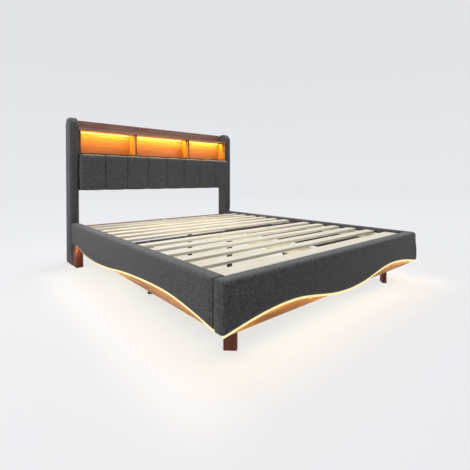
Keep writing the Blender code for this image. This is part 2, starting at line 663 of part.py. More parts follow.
def make_head_brackets():
    """Steel angles that join the rail between the wings to each wing."""
    for side, sign in SIDES:
        flange = BRACKET_FLANGE * -sign
        wall = BRACKET_THICKNESS * -sign
        outline = [(0, 0), (flange, 0), (flange, BRACKET_THICKNESS), (wall, BRACKET_THICKNESS),
                   (wall, BRACKET_FLANGE), (0, BRACKET_FLANGE)]
        corner_x = sign * (WING_INNER_X - CLEARANCE)
        corner_y = HEAD_RAIL_FRONT_Y + HEAD_RAIL_THICKNESS + CLEARANCE
        middle = BEARER_TOP_HEIGHT - HEAD_RAIL_HEIGHT / 2
        plate(f"head_{side}_bracket", outline, BRACKET_HEIGHT, black_steel,
              (corner_x, corner_y, middle), (0, 0, 0))


def foot_mesh():
    """Levelling foot turned about its stud: a round pad with a plain stand-in for the thread."""
    mesh = bpy.data.meshes.new("levelling_foot_profile")
    pad = FOOT_PAD_DIAMETER / 2
    stud = FOOT_STUD_DIAMETER / 2
    top = FOOT_PAD_HEIGHT + FOOT_SCREW_IN + FOOT_STOP_ROOM + FOOT_STUD_REACH
    profile = [(0, top), (stud, top), (stud, FOOT_PAD_HEIGHT), (pad - FOOT_PAD_ROUNDING, FOOT_PAD_HEIGHT),
               (pad, FOOT_PAD_HEIGHT - FOOT_PAD_ROUNDING), (pad, 0), (0, 0)]
    shape = bmesh.new()
    rings = [shape.verts.new((r, 0, z)) for r, z in profile]
    for a, b in zip(rings, rings[1:]):
        shape.edges.new((a, b))
    shape.to_mesh(mesh)
    shape.free()
    return mesh


def make_support(name, x, y, top):
    """One black steel support leg with a levelling foot that screws in and out of its lower end."""
    half = SUPPORT_LEG_WIDTH / 2
    bottom = FOOT_PAD_HEIGHT + FOOT_SCREW_IN + FOOT_STOP_ROOM
    leg = block(f"{name}_support_leg", (x - half, y - half, bottom), (x + half, y + half, top),
                black_steel, BOARD_EDGE_ROUNDING)
    hole = FOOT_STUD_DIAMETER + 2 * FOOT_STUD_ROOM
    depth = FOOT_STUD_REACH + FOOT_SCREW_IN + FOOT_STOP_ROOM
    bore = cylinder_mesh(f"{name}_stud_bore", hole, 2 * depth)
    cut(leg, cutter(f"{name}_stud_bore", bore, (x, y, bottom)))
    foot = place(f"{name}_levelling_foot", foot_mesh(), black_plastic, (x, y, 0))
    turn = foot.modifiers.new("Turned", "SCREW")
    turn.steps = ROUND_SEGMENTS
    turn.render_steps = ROUND_SEGMENTS
    turn.use_merge_vertices = True
    turn.merge_threshold = CLEARANCE / 10


def make_supports():
    """Three supports under the centre beam and two under the cross bar."""
    beam_top = CENTRE_BEAM_BOTTOM_HEIGHT - CLEARANCE
    for name, step in (("foot", -1), ("middle", 0), ("head", 1)):
        make_support(name, 0, CROSS_BAR_Y + step * SUPPORT_LEG_SPACING, beam_top)
    for side, sign in SIDES:
        x = sign * (BED_WIDTH / 2 - SIDE_SUPPORT_INSET)
        make_support(side, x, CROSS_BAR_Y, CROSS_BAR_BOTTOM_HEIGHT - CLEARANCE)


clear_scene()
bed = collection("upholstered_storage_bed")
cutters = collection("cutters")

fabric = material("charcoal_linen", (0.075, 0.076, 0.080), 0.92)
walnut = material("walnut_veneer", (0.16, 0.085, 0.062), 0.5)
dark_walnut = material("stained_walnut", (0.105, 0.052, 0.040), 0.45)
pine = material("planed_pine", (0.80, 0.72, 0.56), 0.6)
plywood = material("poplar_plywood", (0.55, 0.42, 0.27), 0.7)
black_steel = material("powder_coated_steel", (0.012, 0.012, 0.013), 0.45, 0.6)
black_plastic = material("black_nylon", (0.015, 0.015, 0.016), 0.5)
warm_light = material("light_diffuser", (1.0, 0.82, 0.32), 0.3, 0.0, 2.0)

make_wings()
make_bookcase()
make_bay_lights()
make_cushion()
make_cushion_backing()
make_light_driver()
make_upholstered_frame()
make_rail_lights()
make_inner_boards()
make_bearers()
make_cross_bar()
make_slats()
make_corner_legs()
make_head_legs()
make_head_brackets()
make_supports()
bpy.context.view_layer.update()
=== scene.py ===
"""Upholstered storage bed: a padded fabric frame with a lit wave along its lower edge, and a headboard with a
lit bookcase.

Metres, +Z up, +Y towards the head, +X to the right as seen from the foot.
"""

import json
import math

import bpy
import numpy as np
from mathutils import Matrix, Vector
from mathutils.bvhtree import BVHTree

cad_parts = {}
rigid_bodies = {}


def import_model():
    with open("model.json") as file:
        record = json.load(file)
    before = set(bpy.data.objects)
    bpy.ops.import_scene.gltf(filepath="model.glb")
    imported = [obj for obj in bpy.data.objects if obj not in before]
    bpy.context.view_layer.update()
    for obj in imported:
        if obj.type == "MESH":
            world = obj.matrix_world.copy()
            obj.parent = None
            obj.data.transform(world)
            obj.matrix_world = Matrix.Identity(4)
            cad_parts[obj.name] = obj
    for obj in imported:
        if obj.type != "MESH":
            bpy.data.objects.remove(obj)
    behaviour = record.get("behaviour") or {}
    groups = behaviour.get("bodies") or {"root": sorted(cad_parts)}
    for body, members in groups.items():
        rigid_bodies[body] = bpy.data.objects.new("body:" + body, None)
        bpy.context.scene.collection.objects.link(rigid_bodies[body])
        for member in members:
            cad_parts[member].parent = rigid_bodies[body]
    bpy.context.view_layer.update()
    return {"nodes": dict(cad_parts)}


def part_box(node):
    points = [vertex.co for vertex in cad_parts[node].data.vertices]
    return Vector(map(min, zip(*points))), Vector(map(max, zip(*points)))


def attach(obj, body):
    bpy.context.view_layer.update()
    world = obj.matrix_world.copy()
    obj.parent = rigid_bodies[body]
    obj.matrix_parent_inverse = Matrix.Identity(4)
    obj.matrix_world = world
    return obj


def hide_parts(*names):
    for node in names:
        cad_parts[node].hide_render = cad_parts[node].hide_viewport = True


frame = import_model()

MM = 0.001
BODY = "bed_frame"
SIDES = (("left", -1), ("right", 1))
scene = bpy.context.scene


# Small helpers

def linear(hex_colour):
    """An sRGB hex colour as linear red, green, blue and 1."""
    parts = [int(hex_colour[i:i + 2], 16) / 255 for i in (1, 3, 5)]
    return tuple(p / 12.92 if p <= 0.04045 else ((p + 0.055) / 1.055) ** 2.4 for p in parts) + (1.0,)


def deselect_all():
    for other in bpy.data.objects:
        other.select_set(False)


def make_active(piece):
    deselect_all()
    piece.select_set(True)
    bpy.context.view_layer.objects.active = piece


def vertex_values(piece, what):
    """One row for each vertex of a piece: its place ("co") or its normal ("normal")."""
    values = np.empty(len(piece.data.vertices) * 3)
    piece.data.vertices.foreach_get(what, values)
    return values.reshape(-1, 3)


def points_of(piece):
    return vertex_values(piece, "co")


def set_points(piece, points):
    piece.data.vertices.foreach_set("co", np.ascontiguousarray(points).ravel())
    piece.data.update()


def smooth_step(values, start, end):
    """0 up to the start, 1 from the end on, and a smooth rise between."""
    t = np.clip((values - start) / (end - start), 0, 1)
    return t * t * (3 - 2 * t)


# Materials

def new_material(name):
    """A material with only its output and one Principled shader."""
    made = bpy.data.materials.new(name)
    made.use_nodes = True
    return made, made.node_tree, made.node_tree.nodes["Principled BSDF"]


def add_node(tree, kind, links, stops=None, **settings):
    """Adds one node with its settings; links maps each input to a value or to another node's output.

    Stops are (place, hex colour) pairs, for a node that has a colour ramp.
    """
    made = tree.nodes.new("ShaderNode" + kind)
    for name, value in settings.items():
        setattr(made, name, value)
    for name, value in links.items():
        if isinstance(value, bpy.types.NodeSocket):
            tree.links.new(value, made.inputs[name])
        else:
            made.inputs[name].default_value = value
    if stops:
        elements = made.color_ramp.elements
        while len(elements) < len(stops):
            elements.new(0.5)
        for element, (place, colour) in zip(elements, stops):
            element.position = place
            element.color = linear(colour)
    return made


def woven_fabric():
    """Linen-look polyester, woven from heathered yarn: matt charcoal, paler slubs, soft bloom at grazing."""
    made, tree, shader = new_material("woven_linen_look_polyester")
    place = add_node(tree, "TexCoord", {}).outputs["Object"]
    # Yarn of 1.2 mm, drawn coarser so that it still shows from a step away
    yarn = 3 * MM
    thread = add_node(tree, "VectorMath", {0: place, "Scale": 2 * math.pi / yarn}, operation="SCALE")
    waves = add_node(tree, "VectorMath", {0: thread.outputs[0]}, operation="SINE")
    weave = add_node(tree, "VectorMath", {0: waves.outputs[0], 1: (1, 1, 1)}, operation="DOT_PRODUCT")
    # Slubs: thicker bits of yarn, laid along each way that the cloth can lie
    slubs_along, slubs_across = 30, 300      # to the metre, so about 33 mm long and 3 mm wide
    slubs = []
    for way in range(3):
        stretch = [slubs_across] * 3
        stretch[way] = slubs_along
        turned = add_node(tree, "Mapping", {"Vector": place, "Scale": stretch})
        slubs.append(add_node(tree, "TexNoise", {"Vector": turned.outputs[0], "Scale": 1.0, "Detail": 2.0}))
    pair = add_node(tree, "Math", {0: slubs[0].outputs[0], 1: slubs[1].outputs[0]}, operation="MAXIMUM")
    streaks = add_node(tree, "Math", {0: pair.outputs[0], 1: slubs[2].outputs[0]}, operation="MAXIMUM")
    # Heathering: yarn dyed unevenly, in flecks of about 10 mm
    flecks = add_node(tree, "TexNoise", {"Vector": place, "Scale": 110.0, "Detail": 3.0, "Roughness": 0.65})
    blend = add_node(tree, "Math", {0: streaks.outputs[0], 1: flecks.outputs[0]}, operation="MULTIPLY")
    colour = add_node(tree, "ValToRGB", {"Fac": blend.outputs[0]},
                      stops=((0.16, "#3c3c3e"), (0.30, "#4f4f52"), (0.46, "#69696c")))
    tree.links.new(colour.outputs[0], shader.inputs["Base Color"])
    shader.inputs["Roughness"].default_value = 0.92
    shader.inputs["Specular IOR Level"].default_value = 0.15
    shader.inputs["Sheen Weight"].default_value = 0.35
    shader.inputs["Sheen Roughness"].default_value = 0.45
    weave_height = 0.16                      # beside the slubs' height
    relief = add_node(tree, "Math", {0: weave.outputs["Value"], 1: weave_height, 2: streaks.outputs[0]},
                      operation="MULTIPLY_ADD")
    bump = add_node(tree, "Bump", {"Height": relief.outputs[0], "Strength": 0.55, "Distance": 0.8 * MM})
    tree.links.new(bump.outputs[0], shader.inputs["Normal"])
    return made


GRAIN_STRETCH = 0.06      # along the grain the figure changes this many times as fast as across it
FIBRE_SHARE = 0.28        # weight of the fibres in the colour, beside the streaks
UNEVEN = 0.06             # how far the roughness varies with the figure


def grained_wood(name, along, stops, roughness, coat=0.0, figure=44, relief=0.12, specular=0.5, painted_lighting=None):
    """Wood whose grain runs along one axis: long streaks, finer pores and a slow change of tone.

    Figure is how many streaks there are to the metre. The last argument, if given, is (axis, distance,
    colour, share): what lies less than the distance from the origin along the axis takes that share of the
    colour, as a painted glow or as painted shade.
    """
    made, tree, shader = new_material(name)
    place = add_node(tree, "TexCoord", {}).outputs["Object"]
    squeeze = [1.0, 1.0, 1.0]
    squeeze["XYZ".index(along)] = GRAIN_STRETCH
    laid = add_node(tree, "Mapping", {"Vector": place, "Scale": squeeze}).outputs[0]
    # Growth rings cut through, as streaks 10 to 40 mm wide that bend slowly
    bands = add_node(tree, "TexNoise", {"Vector": laid, "Scale": figure, "Detail": 4.0, "Distortion": 1.2})
    # Pores and fibres, drawn about 2 mm wide so that they show
    fibres = add_node(tree, "TexNoise", {"Vector": laid, "Scale": 420.0, "Detail": 3.0, "Roughness": 0.7})
    blend = add_node(tree, "Math", {0: fibres.outputs[0], 1: FIBRE_SHARE, 2: bands.outputs[0]},
                     operation="MULTIPLY_ADD")
    even = add_node(tree, "Math", {0: blend.outputs[0], 1: FIBRE_SHARE / 2}, operation="SUBTRACT")
    colour = add_node(tree, "ValToRGB", {"Fac": even.outputs[0]}, stops=stops)
    # A painted glow or a painted shade, whichever is given, laid over the wood's own colour
    if painted_lighting:
        axis, distance, tone, share = painted_lighting
        parts = add_node(tree, "SeparateXYZ", {0: place})
        reach = add_node(tree, "Math", {0: parts.outputs[axis]}, operation="ABSOLUTE")
        within = add_node(tree, "Math", {0: reach.outputs[0], 1: distance}, operation="LESS_THAN")
        depth = add_node(tree, "Math", {0: within.outputs[0], 1: share}, operation="MULTIPLY")
        colour = add_node(tree, "MixRGB", {"Fac": depth.outputs[0], "Color1": colour.outputs[0],
                                           "Color2": linear(tone)})
    tree.links.new(colour.outputs[0], shader.inputs["Base Color"])
    rough = add_node(tree, "MapRange", {"Value": even.outputs[0], "From Min": 0.3, "From Max": 0.7,
                                        "To Min": roughness + UNEVEN, "To Max": roughness - UNEVEN})
    tree.links.new(rough.outputs[0], shader.inputs["Roughness"])
    shader.inputs["Specular IOR Level"].default_value = specular
    shader.inputs["Coat Weight"].default_value = coat
    shader.inputs["Coat Roughness"].default_value = 0.3
    bump = add_node(tree, "Bump", {"Height": fibres.outputs[0], "Strength": relief, "Distance": 0.4 * MM})
    tree.links.new(bump.outputs[0], shader.inputs["Normal"])
    return made


def powder_coat():
    """Steel with a fine-textured black powder coat: near black, satin, with a faint orange-peel grain."""
    made, tree, shader = new_material("powder_coated_steel")
    place = add_node(tree, "TexCoord", {}).outputs["Object"]
    # Grit of about 0.4 mm, drawn at 1.5 mm so that it shows
    grain = add_node(tree, "TexNoise", {"Vector": place, "Scale": 700.0, "Detail": 2.0})
    colour = add_node(tree, "ValToRGB", {"Fac": grain.outputs[0]},
                      stops=((0.35, "#0e0e0f"), (0.65, "#171718")))
    tree.links.new(colour.outputs[0], shader.inputs["Base Color"])
    shader.inputs["Roughness"].default_value = 0.48
    bump = add_node(tree, "Bump", {"Height": grain.outputs[0], "Strength": 0.25, "Distance": 0.3 * MM})
    tree.links.new(bump.outputs[0], shader.inputs["Normal"])
    return made


def moulded_nylon():
    """Injection-moulded nylon: black, slightly waxy, with a spark-eroded grain of about 1 mm."""
    made, tree, shader = new_material("moulded_nylon")
    place = add_node(tree, "TexCoord", {}).outputs["Object"]
    grain = add_node(tree, "TexNoise", {"Vector": place, "Scale": 900.0, "Detail": 2.0})
    colour = add_node(tree, "ValToRGB", {"Fac": grain.outputs[0]},
                      stops=((0.35, "#181819"), (0.65, "#202022")))
    tree.links.new(colour.outputs[0], shader.inputs["Base Color"])
    shader.inputs["Roughness"].default_value = 0.55
    shader.inputs["IOR"].default_value = 1.53
    bump = add_node(tree, "Bump", {"Height": grain.outputs[0], "Strength": 0.2, "Distance": 0.2 * MM})
    tree.links.new(bump.outputs[0], shader.inputs["Normal"])
    return made


# Painted shade: a strip's glow is dimmed where it sinks behind the fabric's edge
PAINTED_DIM_SHARE = 0.3              # what is left of a strip's glow where it sinks behind the fabric


def lit_silicone(name, strength, painted_dim_span=None):
    """Extruded silicone diffuser over a warm light strip: a pale yellow line, a little brighter at each chip.

    It glows no brighter than its colour needs; lamps beside it throw its light. Over the given stretch,
    measured towards the head, it sinks behind the fabric's edge, and there its glow is dimmed as painted
    shade.
    """
    made, tree, shader = new_material(name)
    place = add_node(tree, "TexCoord", {}).outputs["Object"]
    # Chips about 17 mm apart
    chips = add_node(tree, "TexNoise", {"Vector": place, "Scale": 60.0, "Detail": 1.0})
    colour = add_node(tree, "ValToRGB", {"Fac": chips.outputs[0]}, stops=((0.3, "#ffe495"), (0.7, "#fff3b8")))
    tree.links.new(colour.outputs[0], shader.inputs["Emission Color"])
    shader.inputs["Emission Strength"].default_value = strength
    if painted_dim_span:
        # Painted shade: the glow dims along the stretch where the strip sinks behind the fabric
        parts = add_node(tree, "SeparateXYZ", {0: place})
        dim = add_node(tree, "MapRange", {"Value": parts.outputs["Y"],
                                          "From Min": painted_dim_span[0], "From Max": painted_dim_span[1],
                                          "To Min": strength, "To Max": PAINTED_DIM_SHARE * strength})
        tree.links.new(dim.outputs[0], shader.inputs["Emission Strength"])
    shader.inputs["Base Color"].default_value = linear("#8c8474")
    shader.inputs["Roughness"].default_value = 0.5
    return made


# Wood tones, each with its place in the figure, whose middle is 0.5
WALNUT = ((0.30, "#6e4d3f"), (0.46, "#89604e"), (0.56, "#966d5b"), (0.72, "#a37c6a"))
STAINED = ((0.30, "#432319"), (0.5, "#58322a"), (0.72, "#694035"))
PINE = ((0.30, "#d4ccb4"), (0.48, "#e1dccb"), (0.60, "#e8e4d8"), (0.75, "#dcd5c0"))
# Lit copies of the walnut: the warm glow of the strips and bays painted into its colour, beside what the
# lamps give; the paler one for the bays' dividers and end panels
WALNUT_PAINTED_WARM_GLOW = ((0.30, "#6c4220"), (0.46, "#8a5829"), (0.56, "#966232"), (0.72, "#a37040"))
WALNUT_PAINTED_BRIGHT_GLOW = ((0.30, "#8a5a2e"), (0.46, "#b5803f"), (0.56, "#c48f4c"), (0.72, "#cf9f60"))
# Painted shade: the cushion's backing board shows only as the dark gap beside the cushion, and the corner
# braces sit in shade inside the frame
PAINTED_SHADE_PLY_TONES = ((0.30, "#110e0c"), (0.5, "#1a1512"), (0.72, "#221c18"))
# Painted shade on the bays' front edges, which face away from the bays' light, and on the boards' rears
# inside the frame
PAINTED_SHADE = "#130e0b"
# The bays' warm glow, painted on the back panel and the cross rail below the bays' top
PAINTED_BAY_GLOW = "#b06a26"
LACQUER = 0.42            # roughness of the satin lacquer
LACQUER_COAT = 0.25
CALM_FIGURE = 34          # streaks to the metre on the boards behind the waves

# How far in from a board's face its painted shade reaches, and where each painted layer ends. The back
# panel has the bays' warm glow painted on it up to the bays' top.
SHADE_LAYER = 0.6 * MM
bay_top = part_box("bay_ceiling_board")[0][2]
bay_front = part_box("bay_left_divider")[0][1] + SHADE_LAYER
side_board_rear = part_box("right_inner_board")[0][0] + SHADE_LAYER
foot_board_rear = -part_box("foot_inner_board")[1][1] + SHADE_LAYER
# The stretch, measured towards the head, over which the rails' strips sink behind the fabric and their glow
# is dimmed as painted shade
STRIP_PAINTED_DIM_SPAN = (0.25, 0.6)

fabric = woven_fabric()
# Painted light: the back panel takes the bays' warm glow up to the bays' top
walnut_painted_bay_glow_across = grained_wood("satin_lacquered_walnut_veneer_with_painted_bay_glow_across", "X", WALNUT, LACQUER, coat=LACQUER_COAT,
                             painted_lighting=("Z", bay_top, PAINTED_BAY_GLOW, 0.6))
# Painted warm glow of the bays, and painted shade on the bays' front edges
walnut_painted_glow_shaded_front_across = grained_wood("walnut_veneer_with_smoked_edge_band_across", "X", WALNUT_PAINTED_WARM_GLOW, LACQUER,
                             coat=LACQUER_COAT, painted_lighting=("Y", bay_front, PAINTED_SHADE, 1.0))
walnut_painted_glow_shaded_front_upright = grained_wood("walnut_veneer_with_smoked_edge_band_upright", "Z", WALNUT_PAINTED_BRIGHT_GLOW, LACQUER,
                              coat=LACQUER_COAT, painted_lighting=("Y", bay_front, PAINTED_SHADE, 1.0))
# Painted warm glow of the strips, and painted shade on the boards' rears inside the frame
walnut_painted_glow_shaded_rear_across = grained_wood("walnut_veneer_with_blackened_rear_across", "X", WALNUT_PAINTED_WARM_GLOW, LACQUER,
                            coat=LACQUER_COAT, figure=CALM_FIGURE, painted_lighting=("Y", foot_board_rear, PAINTED_SHADE, 1.0))
walnut_painted_glow_shaded_rear_along = grained_wood("walnut_veneer_with_blackened_rear_along", "Y", WALNUT_PAINTED_WARM_GLOW, LACQUER,
                           coat=LACQUER_COAT, figure=CALM_FIGURE, painted_lighting=("X", side_board_rear, PAINTED_SHADE, 1.0))
# Painted shade for the dark gap beside the cushion and for the braces inside the frame
ply_with_painted_shade = grained_wood("poplar_plywood_with_painted_shade", "X", PAINTED_SHADE_PLY_TONES, roughness=0.7, figure=14,
                             relief=0.15)
leg_walnut = grained_wood("stained_solid_walnut", "Z", STAINED, roughness=0.5, specular=0.2)
pine_across = grained_wood("planed_pine_across", "X", PINE, roughness=0.68, relief=0.2)
pine_along = grained_wood("planed_pine_along", "Y", PINE, roughness=0.68, relief=0.2)
black_steel = powder_coat()
black_nylon = moulded_nylon()
strip_light = lit_silicone("lit_silicone_diffuser", strength=0.95, painted_dim_span=STRIP_PAINTED_DIM_SPAN)
bay_light = lit_silicone("lit_silicone_diffuser_in_bays", strength=1.1)


# Carried-over nodes: material, slot, then the nodes that show it

SLATS = [f"slat_{n:02d}" for n in range(1, 13)]
SUPPORTS = ("foot", "middle", "head", "left", "right")
CARRIED = (
    (walnut_painted_bay_glow_across, "walnut", ["headboard_back_panel", "bay_ceiling_board", "head_cross_rail"]),
    (walnut_painted_glow_shaded_front_across, "walnut", ["bay_floor_board"]),
    (walnut_painted_glow_shaded_front_upright, "walnut", ["bay_left_end_panel", "bay_right_end_panel", "bay_left_divider",
                                "bay_right_divider"]),
    (walnut_painted_glow_shaded_rear_across, "walnut", ["foot_inner_board"]),
    (walnut_painted_glow_shaded_rear_along, "walnut", ["left_inner_board", "right_inner_board"]),
    (leg_walnut, "stained_walnut", ["foot_left_leg", "foot_right_leg", "head_left_leg", "head_right_leg"]),
    (pine_across, "pine", SLATS),
    (pine_along, "pine", ["left_slat_ledger", "right_slat_ledger", "centre_beam"]),
    (ply_with_painted_shade, "plywood", ["cushion_backing_board", "foot_left_corner_brace",
                                "foot_right_corner_brace"]),
    (black_steel, "black_steel", ["deck_cross_bar", "head_left_bracket", "head_right_bracket"]
     + [f"{name}_support_leg" for name in SUPPORTS]),
    (black_nylon, "black_nylon", ["light_driver_box"] + [f"{name}_levelling_foot" for name in SUPPORTS]),
    (strip_light, "light_diffuser", ["left_rail_light", "right_rail_light", "footboard_light"]),
    (bay_light, "light_diffuser", ["bay_left_light", "bay_middle_light", "bay_right_light"]),
)


def finish_carried_nodes():
    for finish, slot_name, names in CARRIED:
        for name in names:
            node = frame["nodes"][name]
            node.data.materials.clear()
            node.data.materials.append(finish)


# Padded pieces: each fills the space of its node, and stands proud of it only where nothing lies against it

GLUED = 0.3 * MM          # how far a glued-down face stays inside its node
SWELL = 2.5 * MM          # how far short of its place a free face starts, and how far it can swell
DEEPEST = 0.4 * MM        # no point ends further inside its node than this
RAIL_PROUD = 2.5 * MM     # how far the free faces stand proud of rails and footboard
WING_PROUD = 8.0 * MM
CHANNEL_PROUD = 5.0 * MM
STUFFING = 4.0            # pressure inside a cover
SWELL_FRAMES = 20

# How much of a face's normal points a given way: where an effect starts, and where it is full
FACING = (0.1, 0.7)
TURNED_IN = (0.2, 0.7)
LEANING = (0.0, 0.6)
# The same as single limits
PARTLY, HALF, MOSTLY = 0.3, 0.5, 0.7


def copy_of(node, name):
    """A new piece with the node's mesh, its loose triangles merged."""
    piece = bpy.data.objects.new(name, frame["nodes"][node].data.copy())
    scene.collection.objects.link(piece)
    make_active(piece)
    bpy.ops.object.mode_set(mode="EDIT")
    bpy.ops.mesh.select_all(action="SELECT")
    bpy.ops.mesh.remove_doubles(threshold=0.01 * MM)
    bpy.ops.object.mode_set(mode="OBJECT")
    return piece


def changed_by(piece, kind, **settings):
    """Adds one modifier and applies it."""
    make_active(piece)
    made = piece.modifiers.new(kind, kind)
    for name, value in settings.items():
        setattr(made, name, value)
    bpy.ops.object.modifier_apply(modifier=made.name)


def swell(piece, held, limit):
    """Fills the cover like a stuffed one; held points stay, and no other moves further than its limit."""
    group = piece.vertex_groups.new(name="held")
    group.add([int(i) for i in np.nonzero(held)[0]], 1.0, "REPLACE")
    cloth = piece.modifiers.new("Stuffed cover", "CLOTH")
    cloth.settings.quality = 5
    cloth.settings.use_pressure = True
    cloth.settings.uniform_pressure_force = STUFFING
    cloth.settings.vertex_group_mass = group.name
    cloth.settings.effector_weights.gravity = 0
    start = points_of(piece)
    for step in range(1, SWELL_FRAMES + 1):
        scene.frame_set(step)
    make_active(piece)
    bpy.ops.object.modifier_apply(modifier=cloth.name)
    moved = points_of(piece) - start
    # Both are kept above nil, so that nothing is divided by it
    far = np.linalg.norm(moved, axis=1, keepdims=True) + 1e-9
    limit = np.maximum(limit, 1e-6)[:, None]
    set_points(piece, start + moved / far * limit * np.tanh(far / limit))
    piece.vertex_groups.clear()
    scene.frame_set(1)


def against(node, points):
    """For each point: the nearest place on the node, its normal, the way out, and the distance outside."""
    mesh = frame["nodes"][node].data
    tree = BVHTree.FromPolygons([v.co for v in mesh.vertices], [p.vertices[:] for p in mesh.polygons])
    found = [tree.find_nearest(point)[:2] for point in points]
    nearest = np.array([place for place, normal in found])
    normal = np.array([normal for place, normal in found])
    apart = points - nearest
    distance = np.linalg.norm(apart, axis=1) * np.where(np.einsum("ij,ij->i", apart, normal) < 0, -1, 1)
    clear = np.abs(distance) > 0.05 * MM
    way_out = np.where(clear[:, None], apart / np.where(clear, distance, 1)[:, None], normal)
    return nearest, normal, way_out, distance


def settle(piece, node, room_of):
    """Brings every point back between DEEPEST inside the node and its room outside it."""
    nearest, normal, way_out, distance = against(node, points_of(piece))
    room = room_of(nearest, normal)
    set_points(piece, nearest + way_out * np.clip(distance, -DEEPEST, room)[:, None])


def pad(node, name, voxel, room_of, held_of, soft_of=None, rounds=0):
    """A padded piece in the space of a node: even small faces, shrunk a little, swollen, refined and settled.

    Room_of says how far each place may stand proud, and held_of which places are glued down. Where soft_of
    gives 1, edges are rounded further than those of the node, by that many rounds of smoothing.
    """
    piece = copy_of(node, name)
    changed_by(piece, "REMESH", mode="VOXEL", voxel_size=voxel, use_smooth_shade=True)
    changed_by(piece, "SMOOTH", factor=0.5, iterations=1)
    nearest, normal, way_out, distance = against(node, points_of(piece))
    room = room_of(nearest, normal)
    held = held_of(nearest, normal)
    start = np.where(held, -GLUED, np.maximum(room - SWELL, -GLUED))
    set_points(piece, nearest + normal * start[:, None])
    swell(piece, held, room - start)
    changed_by(piece, "SUBSURF", levels=1, render_levels=1)
    settle(piece, node, room_of)
    changed_by(piece, "SMOOTH", factor=0.5, iterations=2)
    settle(piece, node, room_of)
    if soft_of:
        firm = points_of(piece)
        changed_by(piece, "SMOOTH", factor=0.5, iterations=rounds)
        soft = soft_of(firm)[:, None]
        set_points(piece, firm + (points_of(piece) - firm) * soft)
    piece.data.materials.clear()
    piece.data.materials.append(fabric)
    for polygon in piece.data.polygons:
        polygon.use_smooth = True
    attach(piece, BODY)
    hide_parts(node)
    return piece


def press(piece, away, chosen, depth, spread):
    """A sewn line: chosen points sink, most where their distance away from the line is nil."""
    points = points_of(piece)
    sink = depth * np.exp(-(away / spread) ** 2) * chosen
    set_points(piece, points - vertex_values(piece, "normal") * sink[:, None])


RAIL_VOXEL = 8 * MM
RAIL_RECESS = 25 * MM     # how far out the recess for the inner board reaches
RAIL_SOFT_DROP = (60 * MM, 35 * MM)    # below the top: where its outer edge's rounding starts and is full
RAIL_SOFT_OUT = (15 * MM, 30 * MM)     # out from the inner face: the same
RAIL_SOFT_END = 30 * MM   # from either end: where the rounding is full
RAIL_SEAM_Y = 0.911       # where two lengths of cloth are sewn together, a hand's breadth before the wing
RAIL_SEAM_DEPTH = 2.5 * MM
RAIL_SEAM_LOW = 20 * MM   # the seam ends this far above the wave's lowest place
SEAM_SPREAD = 4 * MM


def make_side_rails():
    for side, sign in SIDES:
        low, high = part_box(f"{side}_side_rail")
        inner = min(abs(low[0]), abs(high[0]))

        def room(points, out):
            """The outer face and the top may stand proud; recess, inner face, ends and lower edge may not."""
            facing = np.maximum(smooth_step(out[:, 0] * sign, *FACING), smooth_step(out[:, 2], *FACING))
            inward = smooth_step(-out[:, 0] * sign, *TURNED_IN)
            under = smooth_step(-out[:, 2], *LEANING)
            return RAIL_PROUD * facing * (1 - inward) * (1 - under)

        def held(points, out):
            """All that lies against wood is glued down."""
            return (out[:, 0] * sign < -HALF) | (np.abs(out[:, 1]) > MOSTLY) | (
                (out[:, 2] < -MOSTLY) & (points[:, 0] * sign < inner + RAIL_RECESS))

        def soft(points):
            """The upper outer edge is rounded, but for the ends."""
            upper = smooth_step(points[:, 2], high[2] - RAIL_SOFT_DROP[0], high[2] - RAIL_SOFT_DROP[1])
            outer = smooth_step(points[:, 0] * sign, inner + RAIL_SOFT_OUT[0], inner + RAIL_SOFT_OUT[1])
            from_head = smooth_step(high[1] - points[:, 1], 0, RAIL_SOFT_END)
            from_foot = smooth_step(points[:, 1] - low[1], 0, RAIL_SOFT_END)
            return upper * outer * from_head * from_foot

        piece = pad(f"{side}_side_rail", f"{side}_rail_cover", RAIL_VOXEL, room, held, soft,
                    rounds=24)
        points = points_of(piece)
        free = (points[:, 0] * sign > inner + RAIL_SOFT_OUT[0]) & (points[:, 2] > low[2] + RAIL_SEAM_LOW)
        press(piece, points[:, 1] - RAIL_SEAM_Y, free, RAIL_SEAM_DEPTH, SEAM_SPREAD)


CORNER_FULLNESS = 4 * MM  # how much fuller the footboard's lower corners are
CORNER_X = (0.76, 0.82)   # where they start and are full, from the middle
CORNER_DROP = (0.03, 0.13)     # the same, measured down from the top
FOOT_RECESS_X = 0.81      # the recess for the inner board ends before this
FOOT_RECESS = 34 * MM     # how far behind the front it starts
FOOT_SOFT_DROP = (90 * MM, 50 * MM)    # below the top: where the front edge's rounding starts and is full
FOOT_SOFT_REAR = (5 * MM, 25 * MM)     # before the rear face: the same
FOLD_DROP = 12 * MM       # the corner's fold shows this far down from the top
FOLD_DEPTH = 1.5 * MM


